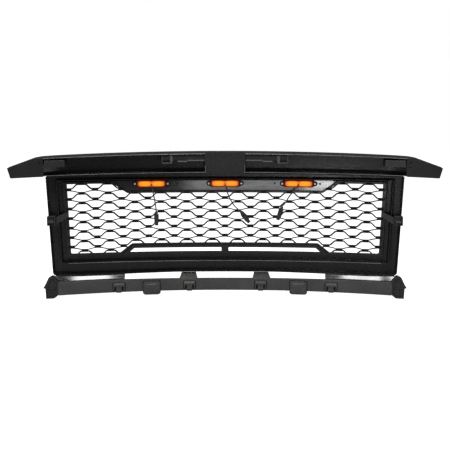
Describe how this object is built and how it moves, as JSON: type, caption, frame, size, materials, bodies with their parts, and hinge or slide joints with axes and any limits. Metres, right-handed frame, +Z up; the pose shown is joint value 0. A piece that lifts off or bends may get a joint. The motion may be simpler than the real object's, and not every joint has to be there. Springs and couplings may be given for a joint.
{
  "type": "vehicle front grille",
  "caption": "Pickup front grille with a honeycomb mesh in a bowed surround, a header bar, amber marker lamps on a panel and a lower mounting bar.",
  "frame": {"origin": "centre of the flat face at the back of the header's centre pad", "axes": "+X to the vehicle's right, +Y to its front, +Z up"},
  "size_m": [1.61, 0.1825, 0.5565],
  "materials": {
    "gloss_black": "smooth moulded black with a gloss skin",
    "matte_grey": "fine-grained moulded dark grey",
    "amber_lens": "clear amber moulding, glossy",
    "gasket": "soft black rubber",
    "bright_steel": "zinc-plated",
    "black_steel": "black oxide screw",
    "circuit_board": "white solder mask",
    "cable_sheath": "grey PVC sheath",
    "connector": "moulded nylon"
  },
  "bodies": {
    "root": {"header_end_left": "matte_grey", "header_block_left": "matte_grey", "corner_bracket_left": "matte_grey", "side_bracket_left": "matte_grey", "side_retainer_left": "black_steel", "header_end_right": "matte_grey", "header_block_right": "matte_grey", "corner_bracket_right": "matte_grey", "side_bracket_right": "matte_grey", "side_retainer_right": "black_steel", "header_bar": "gloss_black", "surround": "gloss_black", "ledge_left": "gloss_black", "ledge_right": "gloss_black", "mesh_panel": "gloss_black", "lower_insert": "gloss_black", "led_panel": "gloss_black", "centre_pad": "matte_grey", "lower_bar": "matte_grey", "lamp_1_housing": "amber_lens", "lamp_1_lens": "amber_lens", "lamp_1_gasket": "gasket", "lamp_1_board": "circuit_board", "lamp_1_screw_left": "bright_steel", "lamp_1_screw_right": "bright_steel", "lead_1": "cable_sheath", "plug_1": "connector", "lamp_2_housing": "amber_lens", "lamp_2_lens": "amber_lens", "lamp_2_gasket": "gasket", "lamp_2_board": "circuit_board", "lamp_2_screw_left": "bright_steel", "lamp_2_screw_right": "bright_steel", "lead_2": "cable_sheath", "plug_2": "connector", "lamp_3_housing": "amber_lens", "lamp_3_lens": "amber_lens", "lamp_3_gasket": "gasket", "lamp_3_board": "circuit_board", "lamp_3_screw_left": "bright_steel", "lamp_3_screw_right": "bright_steel", "lead_3": "cable_sheath", "plug_3": "connector", "lower_retainer_1": "black_steel", "panel_screw_1": "black_steel", "lower_retainer_2": "black_steel", "panel_screw_2": "black_steel", "lower_retainer_3": "black_steel", "panel_screw_3": "black_steel", "lower_retainer_4": "black_steel", "panel_screw_4": "black_steel", "mesh_screw_1": "black_steel", "mesh_screw_2": "black_steel", "mesh_screw_3": "black_steel", "mesh_screw_4": "black_steel", "mesh_screw_5": "black_steel", "mesh_screw_6": "black_steel", "insert_screw_1": "black_steel", "insert_screw_2": "black_steel"}
  },
  "joints": []
}
